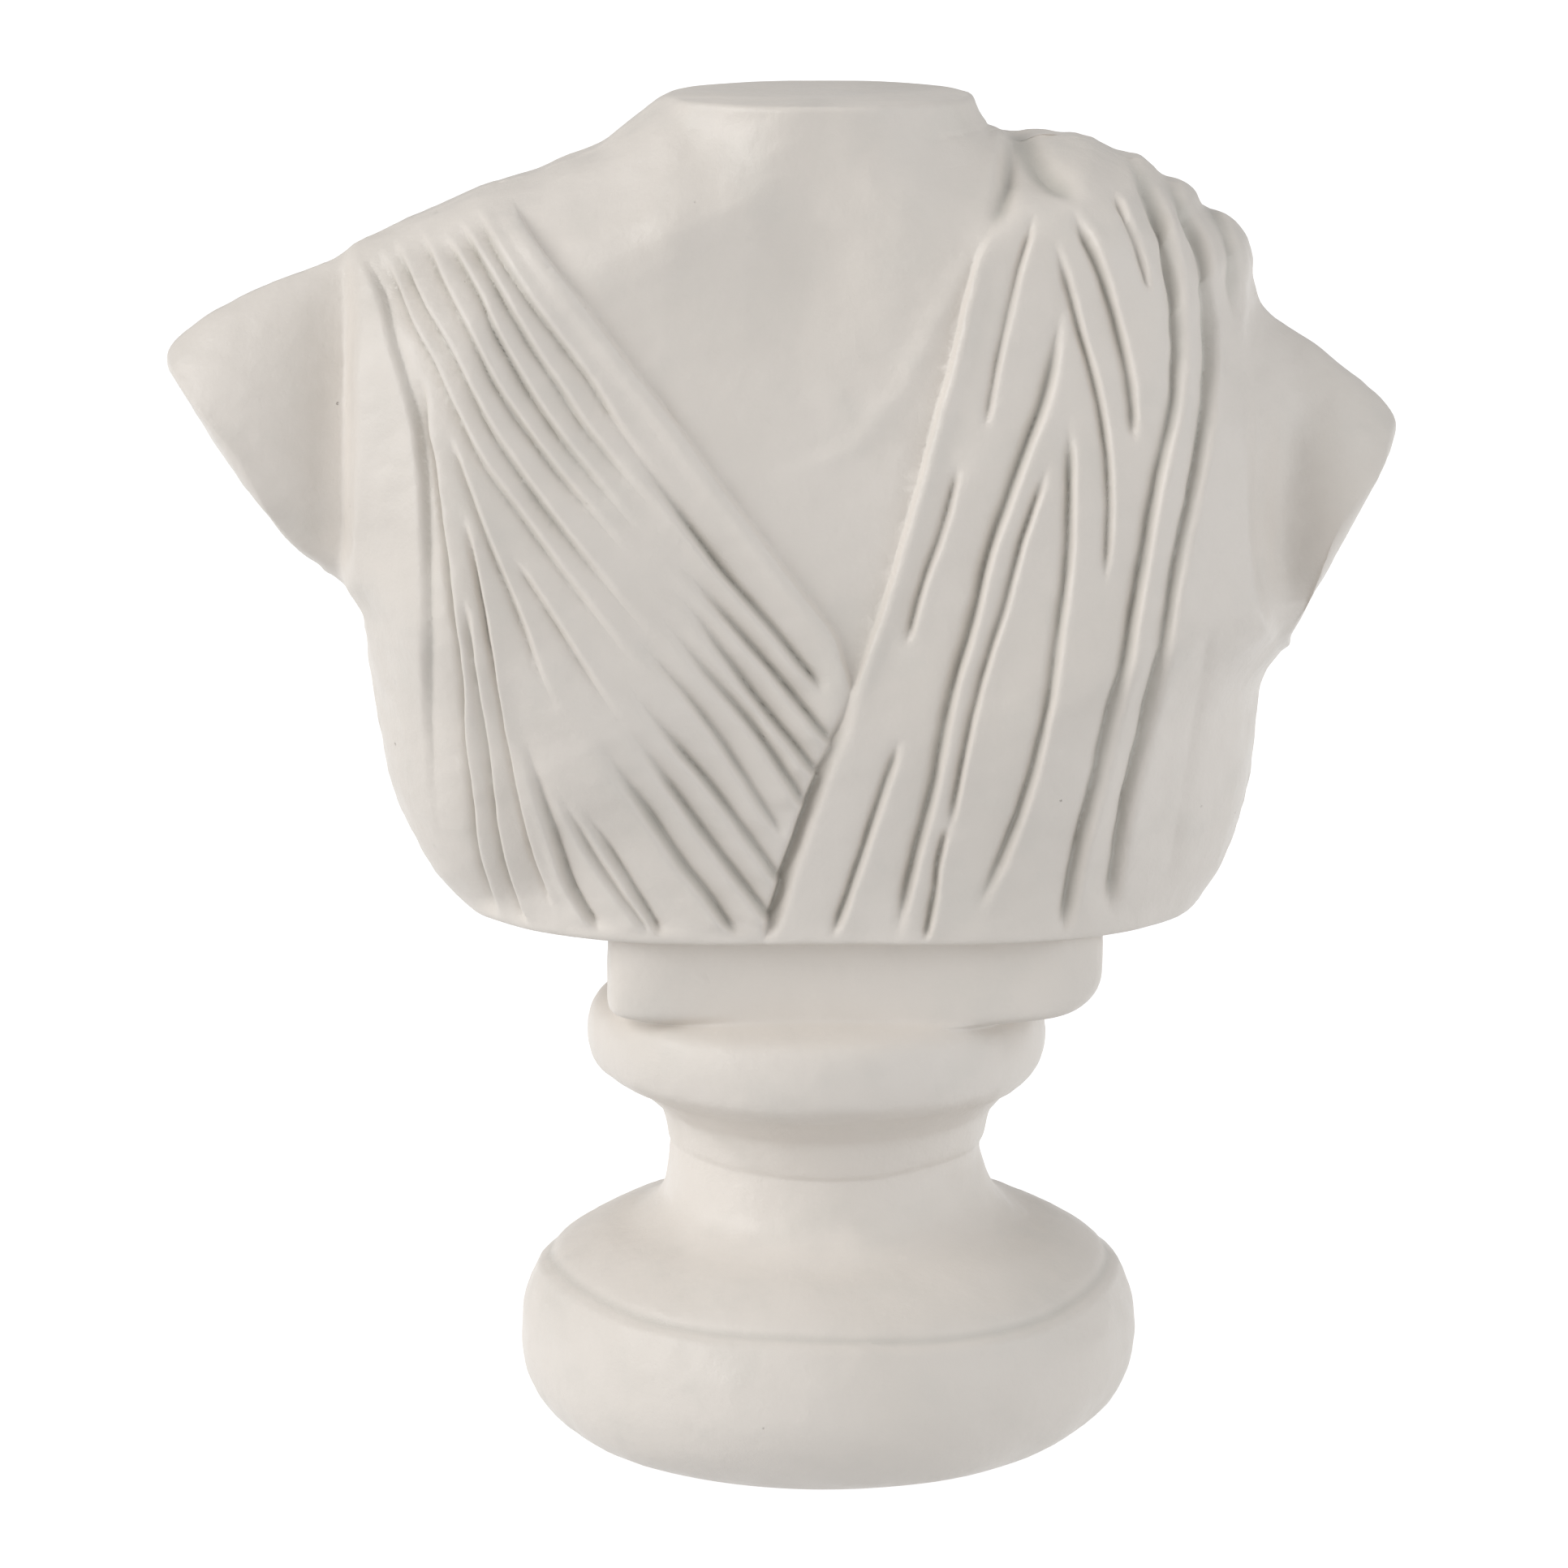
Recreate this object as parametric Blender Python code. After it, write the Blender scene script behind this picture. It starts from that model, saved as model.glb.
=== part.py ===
"""A headless draped bust, moulded in one piece with its turned plinth.

Metres, +Z up. The origin is the middle of the foot's underside, and the bust faces -Y.
"""

import bpy
import numpy as np

# Plinth, from the floor up: foot, bell base, waist, disc and tablet
FOOT_RADIUS = 0.066
FOOT_OFFSET = -0.0017
BASE_RADIUS = 0.0931
BASE_EDGE_HEIGHT = 0.029
BASE_TOP_HEIGHT = 0.060
WAIST_RADIUS = 0.0468
WAIST_HEIGHT = 0.083
DISC_RADIUS = 0.0687
DISC_MIDDLE = 0.121
DISC_TOP = 0.1345
DISC_OFFSET = -0.0038
TABLET_TOP = 0.160
TABLET_WIDTH = 0.145
TABLET_DEPTH = 0.099
TABLET_OFFSET = 0.0072
TABLET_ROUNDING = 0.005
TABLET_WORN_END = 0.013

# Bust, which stands on the tablet. Its free form is drawn in parts, 240 to its height
BUST_HEIGHT = 0.240
PARTS = 240
NECK_RIM = 2.5
HEM_ROUNDING = 2.5
CLOTH = 3.0
LEFT_ARM_STEP = 7.5
RIGHT_ARM_STEP = 5.5
BACK_ARM_STEP = 4.0

# Half outlines from the hem up to the neck cut, in three stretches: distance out and height
LEFT_SIDE = ((108, 0), (119, 12), (130, 37), (135, 67), (137, 83), (139, 92), (149, 102))
LEFT_STUB = ((160, 111), (175, 131), (188, 151), (194, 162), (189, 170))
LEFT_SHOULDER = (
    (172, 181), (147, 191), (136, 198), (119, 205), (96, 214), (80, 219.5), (68, 223.5), (60, 231), (48, 240),
)
RIGHT_SIDE = ((109, 0), (117, 13), (123, 32), (126, 54), (128, 69), (136, 81))
RIGHT_STUB = ((150, 109), (158, 125), (165, 139), (163, 149))
RIGHT_SHOULDER = (
    (144, 166), (129, 176), (124.5, 184), (122.5, 196), (119, 202), (114, 205.3), (108.5, 207.6), (105, 212),
    (102, 214.2), (97, 216), (93, 219.5), (90, 221.9), (84, 223.2), (79, 225.4), (75, 227.2), (64, 228.9),
    (48, 230), (44.5, 232.5), (42.2, 236.5), (41, 240),
)

# Slanted cuts through the arm stubs: the heights between which the outline is the cut
LEFT_CUT = (102, 165)
RIGHT_CUT = (81, 147)

# Where each arm's underside and top would go on past its cut, and how far the body would past hem and neck
LEFT_ARM_ON = ((163, 102), (182, 97), (210, 88), (240, 82)), ((250, 136), (222, 151))
RIGHT_ARM_ON = ((148, 83), (167, 80), (190, 77), (220, 74)), ((222, 106), (195, 126))
BODY_ON = 60
CUT_ROUNDING = 4.0

# Edges of the cloth, as points across and up
LEFT_NECKLINE = (
    (-100, 218), (-96, 214), (-88, 207), (-74, 190), (-61, 173), (-33, 140), (-6, 104), (7, 84), (20, 64),
)
CROSSED_EDGE = (
    (53, 232), (47, 210), (38, 180), (29, 151), (19, 122), (9, 89), (1, 65), (-9, 36), (-18, 4), (-20, -4),
)
CHEST_LINE = ((42, 200), (32, 171), (22, 158), (10, 145), (-1, 140), (-35, 140))
LEFT_ARM_EDGE = ((-141, 204), (-138, 187), (-137, 159), (-138, 122), (-141, 96), (-146, 84))
RIGHT_ARM_EDGE = ((121, 204), (120, 190), (118, 168), (118, 151), (119, 133), (123, 103), (131, 78))

# Carved folds: top end across and up, bottom end across and up, bow, depth and half width
LEFT_FOLDS = (
    (-134, 200, -113, 1, 7, 2.6, 2.6),
    (-114, 150, -99, 2, -1, 3.4, 2.0),
    (-128, 199, -57, 88, -2.5, 2.0, 2.4),
    (-122, 202, -46, 88, -3, 2.0, 2.4),
    (-117, 204, -36, 92, -3, 2.0, 2.4),
    (-111, 206, -28, 96, -3, 2.0, 2.4),
    (-104, 208, -30, 108, -1.5, 2.0, 2.4),
    (-88, 197, -22, 104, -3, 1.2, 2.2),
    (-102, 102, -90, 4, -2, 2.0, 1.8),
    (-99, 104, -78, 4, -2, 1.6, 1.6),
    (-83, 50, -68, 4, -1, 2.2, 1.8),
    (-75, 38, -55, 2, -1, 1.4, 1.8),
    (-64, 31, -49, 2, -1, 1.8, 1.8),
    (-62, 54, -29, 5, -1, 2.8, 2.2),
    (-52, 56, -19, 11, -1, 2.4, 2.2),
    (-53, 74, -16, 25, -1, 2.2, 2.2),
    (-53, 88, -15, 35, -1.5, 2.0, 2.0),
    (-44, 93, -9, 46, -1, 3.0, 2.2),
    (-42, 101, -5, 57, -1, 3.0, 2.2),
    (-38, 108, -5, 69, -1, 3.4, 2.2),
    (-24, 107, -3, 80, 0, 3.6, 2.0),
)
RIGHT_FOLDS = (
    (49, 230, 38, 202, 3, 6.0, 3.8),
    (55, 229, 66, 213, -1, 5.0, 4.2),
    (35, 140, 20, 90, 1.5, 2.0, 1.6),
    (26, 80, 2, 6, -1, 2.8, 2.0),
    (58, 206, 42, 147, -2, 1.6, 2.4),
    (67, 186, 18, 0, -4, 3.4, 2.2),
    (61, 150, 34, 42, -1, 2.2, 1.8),
    (32, 40, 28, 2, 0, 2.6, 1.6),
    (67, 160, 60, 67, 2.5, 2.4, 1.8),
    (60, 72, 40, 4, 3, 2.0, 2.2),
    (64, 203, 79, 108, 7, 2.0, 2.2),
    (68, 211, 85, 146, 5, 2.2, 2.2),
    (80, 216, 89, 192, 1, 1.6, 1.8),
    (80, 234, 98, 163, 7, 3.2, 2.6),
    (98, 172, 68, 2, -2, 3.2, 2.6),
    (93, 226, 106, 166, 4.5, 2.6, 2.6),
    (106, 174, 82, 8, -1.5, 2.6, 2.4),
    (104, 218, 117, 178, 2, 2.6, 2.6),
)

FRONT_COLUMNS = 280
BACK_COLUMNS = 100
BUST_ROWS = 240
TRIANGLES = 9800
PAINT = (0.80, 0.77, 0.73, 1.0)
PAINT_ROUGHNESS = 0.5


def clear_scene():
    for thing in list(bpy.data.objects):
        bpy.data.objects.remove(thing)


def smooth(value, low, high):
    """0 below low, 1 above high, and an S-curve between."""
    t = np.clip((value - low) / (high - low), 0, 1)
    return t * t * (3 - 2 * t)


def curve_through(points, per_span=16):
    """A smooth curve through the points: each span is a cubic whose end slopes join the neighbours."""
    p = np.asarray(points, float)
    p = np.vstack([2 * p[0] - p[1], p, 2 * p[-1] - p[-2]])
    t = np.linspace(0, 1, per_span, endpoint=False)[:, None]
    spans = []
    for a, b, c, d in zip(p, p[1:], p[2:], p[3:]):
        bend = (2 * a - 5 * b + 4 * c - d) * t**2 + (3 * b - a - 3 * c + d) * t**3
        spans.append(0.5 * (2 * b + (c - a) * t + bend))
    return np.vstack(spans + [p[-2:-1]])


def rising_outline(points, side):
    """An outline from the hem to the neck that never turns down, with x negative on the left."""
    line = curve_through(points) * (side, 1)
    line[:, 1] = np.maximum.accumulate(line[:, 1])
    return line


def across_at(height, points):
    """Where an edge, given from its top down or its bottom up, lies at each height."""
    line = curve_through(points)
    line = line[np.argsort(line[:, 1])]
    return np.interp(height, line[:, 1], line[:, 0])


def outlines():
    """The left and the right outline from the hem to the neck cut."""
    left = rising_outline(LEFT_SIDE + LEFT_STUB + LEFT_SHOULDER, -1)
    right = rising_outline(RIGHT_SIDE + RIGHT_STUB + RIGHT_SHOULDER, 1)
    return left, right


def body_edges():
    """The edges that the body swells between, as if the arms, the body and the neck went on."""
    left, right = outlines()
    for line, side, cut, arm_on in ((left, -1, LEFT_CUT, LEFT_ARM_ON), (right, 1, RIGHT_CUT, RIGHT_ARM_ON)):
        below, above = (np.array(points) * (side, 1) for points in arm_on)
        yield np.vstack([line[:1] - (0, BODY_ON), line[line[:, 1] < cut[0]][::3], below])
        yield np.vstack([above, line[line[:, 1] > cut[1]][::3], line[-1:], line[-1:] + (0, BODY_ON)])


def line_distance(x, z, line):
    """Distance from each point to the nearest stretch of a line."""
    nearest = np.full(np.shape(x), 1e9)
    for (ax, az), (bx, bz) in zip(line, line[1:]):
        share = ((x - ax) * (bx - ax) + (z - az) * (bz - az)) / ((bx - ax) ** 2 + (bz - az) ** 2)
        share = np.clip(share, 0, 1)
        nearest = np.minimum(nearest, np.hypot(x - ax - share * (bx - ax), z - az - share * (bz - az)))
    return nearest


def edge_distance(x, z):
    """How far each point lies inside the body's edges."""
    return np.minimum.reduce([line_distance(x, z, line) for line in body_edges()])


def edge_radius(z):
    """How far in from its edges the body is still rounding: widest at the flanks, less at the arms."""
    return 36 + 42 * (1 - smooth(z, 58, 100)) + 5 * smooth(z, 200, 236)


def mound(x, z, cx, cz, rx, rz):
    """A round swelling of height 1 about a point."""
    return np.exp(-(((x - cx) / rx) ** 2) - ((z - cz) / rz) ** 2)


def front_thickness(x, z):
    """How far the front stands before the middle plane where no edge is near."""
    torso = 58 + 8 * smooth(z, 0, 70) - 12 * smooth(z, 120, 200) - 6 * smooth(z, 205, 238)
    left_arm = 27 * smooth(-x, 96, 150)
    right_arm = 24 * smooth(x, 92, 146)
    arms = smooth(z, 84, 120)
    step_left = LEFT_ARM_STEP * smooth(across_at(z, LEFT_ARM_EDGE) - x, -0.6, 3.4) * smooth(z, 86, 100)
    step_right = RIGHT_ARM_STEP * smooth(x - across_at(z, RIGHT_ARM_EDGE), -0.8, 4.0) * smooth(z, 70, 96)
    breasts = 9 * mound(x, z, -74, 78, 42, 44) + 8 * mound(x, z, 70, 80, 40, 46)
    hollow = 5 * mound(x, z, -6, 196, 16, 26)
    return torso + breasts - hollow - (left_arm + right_arm) * arms - step_left - step_right


def back_thickness(x, z):
    """How far the back stands behind the middle plane where no edge is near."""
    torso = 50 + 6 * smooth(z, 0, 60) + 4 * smooth(z, 90, 150) - 12 * smooth(z, 170, 236)
    arms = 26 * smooth(np.abs(x + 6), 92, 150) * smooth(z, 84, 120)
    blades = 4 * mound(x, z, -62, 140, 34, 44) + 4 * mound(x, z, 54, 140, 34, 44)
    spine = 4 * mound(x, z, -4, 110, 12, 80)
    step = BACK_ARM_STEP * smooth(np.abs(x + 8) - 129, -1.0, 5.0) * smooth(z, 88, 100)
    return torso + blades - spine - arms - step


def edge_fade(distance, radius):
    """A quarter round: 0 at the outline, 1 from one edge radius inward."""
    t = np.clip(distance / radius, 0, 1)
    return np.sqrt(1 - (1 - t) ** 2)


def groove(x, z, fold):
    """One carved fold: a rounded valley along an arc, faded at both ends."""
    top_x, top_z, low_x, low_z, bow, depth, half_width = fold
    run = top_z - low_z
    t = (top_z - z) / run
    centre = top_x + (low_x - top_x) * t + 4 * bow * t * (1 - t)
    lean = (low_x - top_x + 4 * bow * (1 - 2 * t)) / run
    off = (x - centre) / np.hypot(1, lean) / half_width
    ends = smooth(z, low_z - 3, low_z + 0.12 * run) * (1 - smooth(z, top_z - 0.15 * run, top_z + 2))
    return -depth * ends * np.exp(-np.abs(off) ** 2.2)


def ridge_along(x, z, points, height, half_width):
    """A soft raised line along a curve, from the distance to the nearest stretch of it."""
    return height * np.exp(-((line_distance(x, z, curve_through(points, 6)) / half_width) ** 2))


def front_relief(x, z, distance):
    """Height of the front's carving over the plain form: cloth, folds, bare skin and arms."""
    neckline = across_at(z, LEFT_NECKLINE)
    crossed = across_at(z, CROSSED_EDGE)
    on_right = smooth(x - crossed, -1.5, 0.7)
    on_left = 1 - smooth(x - neckline, -0.5, 2.0)
    bare = (1 - on_right) * (1 - on_left) * smooth(z, 70, 84)
    folds_left = sum(groove(x, z, fold) for fold in LEFT_FOLDS)
    folds_right = sum(groove(x, z, fold) for fold in RIGHT_FOLDS)
    relief = folds_left * (1 - on_right) * (1 - bare) + folds_right * on_right
    relief = relief - CLOTH * bare * smooth(distance, 2, 14)
    beside = np.clip(crossed - x, 0, None)
    undercut = smooth(z, -2, 30) * (1 - smooth(z, 62, 104))
    relief = relief - (2 + 5 * undercut) * (1 - on_right) * np.exp(-((beside / 6) ** 2)) * (1 - bare)
    relief = relief + ridge_along(x, z, CHEST_LINE, 1.0, 3.2) * bare
    return relief - 5 * mound(x, z, 131, 116, 10, 26)


def back_folds():
    """Plain long folds of the back: two fans that fall from the shoulders to the hem."""
    for side, shoulder, count in ((-1, 128, 6), (1, 112, 6)):
        for i in range(count):
            share = i / (count - 1)
            top = side * (shoulder - 62 * share)
            low = side * (96 - 90 * share)
            yield (top, 216 - 10 * (1 - share), low, 2, -4 * side, 1.8 + 0.8 * np.sin(3 * i), 4.5)


def back_relief(x, z, distance):
    """The back's carving: plain folds below a bare neck."""
    folds = sum(groove(x, z, fold) for fold in back_folds())
    bare_neck = smooth(z - 198, 0, 14) * smooth(70 - np.abs(x + 4), 0, 12)
    return folds * (1 - bare_neck) - 2 * bare_neck * smooth(distance, 3, 16)


def column_turns():
    """Angles of the columns: 0 at the left edge, rising through the front to the right edge."""
    front = np.linspace(0, np.pi, FRONT_COLUMNS, endpoint=False)
    back = np.linspace(np.pi, 2 * np.pi, BACK_COLUMNS, endpoint=False)
    return np.concatenate([front, back])


def even_points(line, count):
    """Points along an outline, evenly spaced but for a little more room on its steep stretches."""
    pace = np.hypot(*np.diff(line, axis=0).T) + 0.4 * np.abs(np.diff(line[:, 1]))
    along = np.concatenate([[0], np.cumsum(pace)])
    spots = np.linspace(0, along[-1], count)
    return np.interp(spots, along, line[:, 0])[:, None], np.interp(spots, along, line[:, 1])[:, None]


def cut_distance(x, z, outline, cut):
    """Distance to the stretch of an outline where an arm is cut off."""
    low, top = cut
    stretch = outline[(outline[:, 1] > low) & (outline[:, 1] < top)]
    return line_distance(x, z, stretch[::3])


def outward(x, y, z):
    """Unit normals of a closed grid of rows, pointing out of the body."""
    points = np.stack([x, y, z], axis=-1)
    round_about = np.roll(points, -1, axis=1) - np.roll(points, 1, axis=1)
    upward = np.gradient(points, axis=0)
    normal = np.cross(round_about, upward)
    return normal / np.maximum(np.linalg.norm(normal, axis=-1, keepdims=True), 1e-9)


def bust_rows():
    """The bust's surface as rows of points, in parts, from the hem to the neck cut.

    Each row joins a point of the left outline to one of the right outline, round the front and the back.
    """
    left, right = outlines()
    turn = column_turns()
    left_x, left_z = even_points(left, BUST_ROWS)
    right_x, right_z = even_points(right, BUST_ROWS)
    share = (1 - np.cos(turn)) / 2
    x = left_x + (right_x - left_x) * share
    z = left_z + (right_z - left_z) * share
    side_gap = np.maximum(np.minimum(x - left_x, right_x - x), 0)
    distance = np.minimum(edge_distance(x, z), 4 * side_gap)
    cuts = np.minimum(cut_distance(x, z, left, LEFT_CUT), cut_distance(x, z, right, RIGHT_CUT))
    fade = edge_fade(distance, edge_radius(z)) * edge_fade(cuts, CUT_ROUNDING)
    front = np.sin(turn) > 0
    y = np.where(front, -front_thickness(x, z), back_thickness(x, z)) * fade
    share = smooth(-y, -12, 4)
    relief = share * front_relief(x, z, distance) + (1 - share) * back_relief(x, z, distance)
    relief = relief * (0.35 + 0.65 * smooth(z, 0, 6))
    points = np.stack([x, y, z], axis=-1) + outward(x, y, z) * relief[..., None]
    points[..., 2] = np.clip(points[..., 2], 0, PARTS)
    return points


def soften_ends(rows):
    """Rounds the neck rim and the hem: rows draw in along a quarter circle near each end."""
    centre = rows.mean(axis=1, keepdims=True)
    centre[..., 2] = 0
    for height, rounding in ((0.0, HEM_ROUNDING), (float(PARTS), NECK_RIM)):
        gap = np.abs(rows[..., 2:] - height)
        inset = rounding * (1 - edge_fade(gap, rounding))
        flat = rows[..., :2] - centre[..., :2]
        reach = np.linalg.norm(flat, axis=-1, keepdims=True)
        rows[..., :2] -= flat / np.maximum(reach, 1e-9) * inset
    return rows


def turned_profile():
    """The plinth's turned profile, foot to disc: radius, height and sideways offset."""
    drop = BASE_TOP_HEIGHT - BASE_EDGE_HEIGHT
    flare = BASE_RADIUS - WAIST_RADIUS
    under = DISC_RADIUS - WAIST_RADIUS
    neck = DISC_MIDDLE - WAIST_HEIGHT
    lower = np.linspace(-np.pi / 2, 0, 9)
    edge = [
        (FOOT_RADIUS + (BASE_RADIUS - FOOT_RADIUS) * np.cos(t),
         BASE_EDGE_HEIGHT * (1 + np.sin(t)), -FOOT_OFFSET / DISC_OFFSET * np.sin(t)) for t in lower
    ]
    bell = [
        (BASE_RADIUS - 0.010 * flare, BASE_EDGE_HEIGHT + 0.20 * drop, 0),
        (BASE_RADIUS - 0.035 * flare, BASE_EDGE_HEIGHT + 0.34 * drop, 0),
        (BASE_RADIUS - 0.10 * flare, BASE_EDGE_HEIGHT + 0.56 * drop, 0),
        (BASE_RADIUS - 0.24 * flare, BASE_EDGE_HEIGHT + 0.79 * drop, 0),
        (BASE_RADIUS - 0.48 * flare, BASE_TOP_HEIGHT, 0),
        (WAIST_RADIUS + 0.25 * flare, BASE_TOP_HEIGHT + 0.20 * (WAIST_HEIGHT - BASE_TOP_HEIGHT), 0),
        (WAIST_RADIUS + 0.08 * flare, BASE_TOP_HEIGHT + 0.50 * (WAIST_HEIGHT - BASE_TOP_HEIGHT), 0),
    ]
    disc = [
        (WAIST_RADIUS, WAIST_HEIGHT, 0.3),
        (WAIST_RADIUS + 0.02 * under, WAIST_HEIGHT + 0.15 * neck, 0.25),
        (WAIST_RADIUS + 0.12 * under, WAIST_HEIGHT + 0.38 * neck, 0.2),
        (WAIST_RADIUS + 0.27 * under, WAIST_HEIGHT + 0.49 * neck, 0.25),
        (WAIST_RADIUS + 0.49 * under, WAIST_HEIGHT + 0.60 * neck, 0.35),
        (WAIST_RADIUS + 0.75 * under, WAIST_HEIGHT + 0.69 * neck, 0.6),
        (WAIST_RADIUS + 0.94 * under, WAIST_HEIGHT + 0.81 * neck, 0.9),
        (DISC_RADIUS, DISC_MIDDLE, 1),
        (DISC_RADIUS - 0.06 * under, DISC_MIDDLE + 0.56 * (DISC_TOP - DISC_MIDDLE), 1),
        (DISC_RADIUS - 0.18 * under, DISC_MIDDLE + 0.86 * (DISC_TOP - DISC_MIDDLE), 1),
        (DISC_RADIUS - 0.38 * under, DISC_TOP, 1),
    ]
    return np.vstack([edge, curve_through(bell + disc, 4)[1:]])


def plinth_rows():
    """Rings of the plinth, in metres: turned rings, then the rounded oblong tablet."""
    turn = column_turns()
    rings = []
    for radius, height, shift in turned_profile():
        x = DISC_OFFSET * shift - radius * np.cos(turn)
        rings.append(np.stack([x, -radius * np.sin(turn), np.full_like(turn, height)], axis=-1))
    for rise in np.linspace(0, 1, 9) ** 1.5 * (TABLET_TOP - DISC_TOP):
        rings.append(tablet_ring(turn, rise))
    return np.array(rings)


def tablet_ring(turn, rise):
    """An oblong ring from the eighth-power oval, rounded in below and more so at its worn right end."""
    inset = TABLET_ROUNDING * (1 - edge_fade(rise, TABLET_ROUNDING))
    worn = TABLET_WORN_END * (1 - edge_fade(rise, TABLET_WORN_END))
    half_depth = TABLET_DEPTH / 2 - inset
    half_width = TABLET_WIDTH / 2 - np.where(np.cos(turn) < 0, worn, inset)
    across = np.abs(np.cos(turn) / half_width) ** 8
    deep = np.abs(np.sin(turn) / half_depth) ** 8
    reach = (across + deep) ** (-1 / 8)
    x = TABLET_OFFSET - reach * np.cos(turn)
    return np.stack([x, -reach * np.sin(turn), np.full_like(turn, DISC_TOP + rise)], axis=-1)


def closed_mesh(rows):
    """A mesh of rings joined by quads, closed by a fan of triangles at each end."""
    count, columns, _ = rows.shape
    points = np.vstack([rows.reshape(-1, 3), rows[0].mean(axis=0), rows[-1].mean(axis=0)])
    faces = []
    for i in range(count - 1):
        for j in range(columns):
            k = (j + 1) % columns
            faces.append((i * columns + j, i * columns + k, (i + 1) * columns + k, (i + 1) * columns + j))
    foot, crown = count * columns, count * columns + 1
    top = (count - 1) * columns
    for j in range(columns):
        k = (j + 1) % columns
        faces.append((foot, k, j))
        faces.append((crown, top + j, top + k))
    mesh = bpy.data.meshes.new("bust")
    mesh.from_pydata(points.tolist(), [], faces)
    return mesh


def painted_paper():
    """Off-white satin paint over papier-mache."""
    material = bpy.data.materials.new("painted_paper")
    material.use_nodes = True
    shader = material.node_tree.nodes["Principled BSDF"]
    shader.inputs["Base Color"].default_value = PAINT
    shader.inputs["Roughness"].default_value = PAINT_ROUGHNESS
    shader.inputs["Metallic"].default_value = 0.0
    return material


def thin_out(obj):
    """Keeps about TRIANGLES faces, most of them on the folds, and the two cuts exactly flat."""
    faces = sum(len(face.vertices) - 2 for face in obj.data.polygons)
    modifier = obj.modifiers.new("thin", "DECIMATE")
    modifier.ratio = TRIANGLES / faces
    graph = bpy.context.evaluated_depsgraph_get()
    thinned = bpy.data.meshes.new_from_object(obj.evaluated_get(graph))
    obj.modifiers.clear()
    obj.data = thinned
    top = TABLET_TOP + BUST_HEIGHT
    snap = 0.0004
    for vertex in thinned.vertices:
        if vertex.co.z < snap:
            vertex.co.z = 0.0
        elif vertex.co.z > top - snap:
            vertex.co.z = top


def build_bust():
    bust = soften_ends(bust_rows()) * (BUST_HEIGHT / PARTS)
    bust[..., 2] += TABLET_TOP
    mesh = closed_mesh(np.concatenate([plinth_rows(), bust]))
    obj = bpy.data.objects.new("bust", mesh)
    bpy.context.scene.collection.objects.link(obj)
    thin_out(obj)
    obj.data.materials.clear()
    obj.data.materials.append(painted_paper())
    obj.data.shade_smooth()
    obj.data.set_sharp_from_angle(angle=np.radians(50))


clear_scene()
build_bust()
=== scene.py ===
"""A headless draped bust of papier-mache on its turned plinth, moulded and painted as one piece.

Metres, +Z up, the bust faces -Y. The bust's free form is drawn in parts, 240 to its height, and each
surface is a function of a turn round the piece and a height.
"""

import bpy
import numpy as np
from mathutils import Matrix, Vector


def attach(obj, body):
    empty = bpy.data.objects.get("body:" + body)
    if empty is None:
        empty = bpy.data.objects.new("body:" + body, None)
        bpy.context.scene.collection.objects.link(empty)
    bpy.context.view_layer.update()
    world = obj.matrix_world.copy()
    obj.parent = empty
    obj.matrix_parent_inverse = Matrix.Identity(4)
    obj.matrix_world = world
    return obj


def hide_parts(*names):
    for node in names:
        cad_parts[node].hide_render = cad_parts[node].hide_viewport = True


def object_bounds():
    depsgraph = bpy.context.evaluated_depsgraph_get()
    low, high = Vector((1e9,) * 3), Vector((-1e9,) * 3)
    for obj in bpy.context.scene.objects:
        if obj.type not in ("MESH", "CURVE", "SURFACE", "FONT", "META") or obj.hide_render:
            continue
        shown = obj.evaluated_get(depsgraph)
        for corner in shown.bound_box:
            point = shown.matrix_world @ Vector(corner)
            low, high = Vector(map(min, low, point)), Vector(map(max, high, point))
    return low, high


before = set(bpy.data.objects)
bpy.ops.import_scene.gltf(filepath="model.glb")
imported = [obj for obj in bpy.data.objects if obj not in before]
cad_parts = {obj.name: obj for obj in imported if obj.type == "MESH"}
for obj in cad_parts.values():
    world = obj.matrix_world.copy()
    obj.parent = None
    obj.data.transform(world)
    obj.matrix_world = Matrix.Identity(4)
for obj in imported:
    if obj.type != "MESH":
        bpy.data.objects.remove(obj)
cad_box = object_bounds()

# Plinth, from the floor up: foot, bell base, waist, disc and tablet
FOOT_RADIUS = 0.066
FOOT_OFFSET = -0.0017
BASE_RADIUS = 0.0931
BASE_EDGE_HEIGHT = 0.029
BASE_TOP_HEIGHT = 0.060
WAIST_RADIUS = 0.0468
WAIST_HEIGHT = 0.083
DISC_RADIUS = 0.0687
DISC_MIDDLE = 0.121
DISC_TOP = 0.1345
DISC_OFFSET = -0.0038
TABLET_TOP = 0.160
TABLET_WIDTH = 0.145
TABLET_DEPTH = 0.099
TABLET_OFFSET = 0.0072
TABLET_ROUNDING = 0.0018
TABLET_WORN_END = 0.013
TABLET_SQUARENESS = 10
JOINT_FILLET = 0.005

# Scored line round the base, below its top, and a fainter one above the waist
BASE_LINE_BELOW = 0.0095
BASE_LINE_DEPTH = 0.0005
BASE_LINE_LIP = 0.0004
BASE_LINE_WIDTH = 0.0016
WAIST_LINE_ABOVE = 0.004
WAIST_LINE_DEPTH = 0.0004
WAIST_LINE_WIDTH = 0.0012

# Bust
BUST_HEIGHT = 0.240
PARTS = 240
NECK_RIM = 2.0
HEM_ROUNDING = 2.5
HEM_COVER = 0.985
CLOTH = 3.2
LEFT_ARM_STEP = 7.5
RIGHT_ARM_STEP = 5.5
BACK_ARM_STEP = 4.0
CUT_ROUNDING = 4.0

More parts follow.
